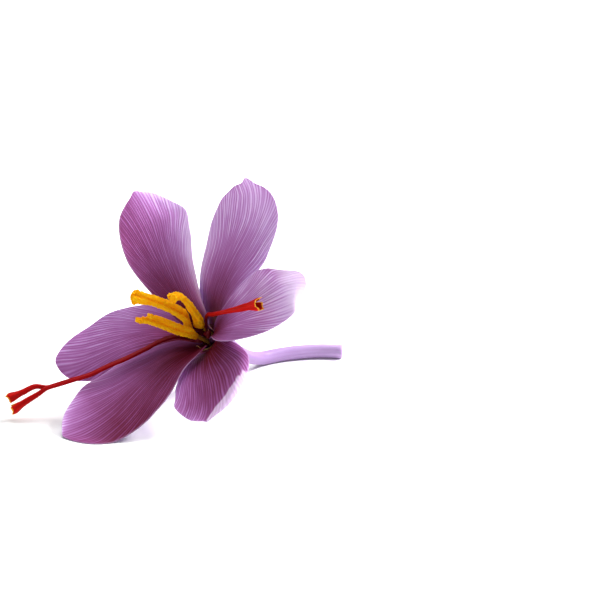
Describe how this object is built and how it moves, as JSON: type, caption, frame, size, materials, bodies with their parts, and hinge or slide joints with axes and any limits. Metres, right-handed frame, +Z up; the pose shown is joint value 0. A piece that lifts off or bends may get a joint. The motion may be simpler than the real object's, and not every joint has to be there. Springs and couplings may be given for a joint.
{
  "type": "saffron crocus flower",
  "caption": "picked saffron crocus bloom lying on a surface: open lilac tepals, yellow anthers and long red stigmas on a slender tube",
  "frame": {"origin": "middle of the base of the flower's box, on the surface it lies on", "axes": "+Z up from the surface, +X to the right in the picture's view and along the longest side, +Y away from the viewer"},
  "size_m": [0.0796, 0.0686, 0.0553],
  "materials": {
    "tepal": "thin lilac petal with darker veins, dark maroon at the throat, soft sheen",
    "tube": "pale lilac, smooth, slightly waxy",
    "filament": "golden brown, matt",
    "anther": "yellow-orange, granular with pollen",
    "style": "orange-yellow, smooth",
    "stigma": "deep crimson, satin, orange-yellow at the fringed mouth"
  },
  "bodies": {
    "root": {"tepal_upper_left": "tepal", "tepal_upper_right": "tepal", "tepal_right": "tepal", "tepal_lower_right": "tepal", "tepal_lower_left": "tepal", "tepal_left": "tepal", "perianth_tube": "tube", "filament_left": "filament", "filament_upper": "filament", "filament_lower": "filament", "anther_left": "anther", "anther_upper": "anther", "anther_lower": "anther", "style": "style", "stigma_right": "stigma", "stigma_upper": "stigma", "stigma_lower": "stigma"}
  },
  "joints": []
}
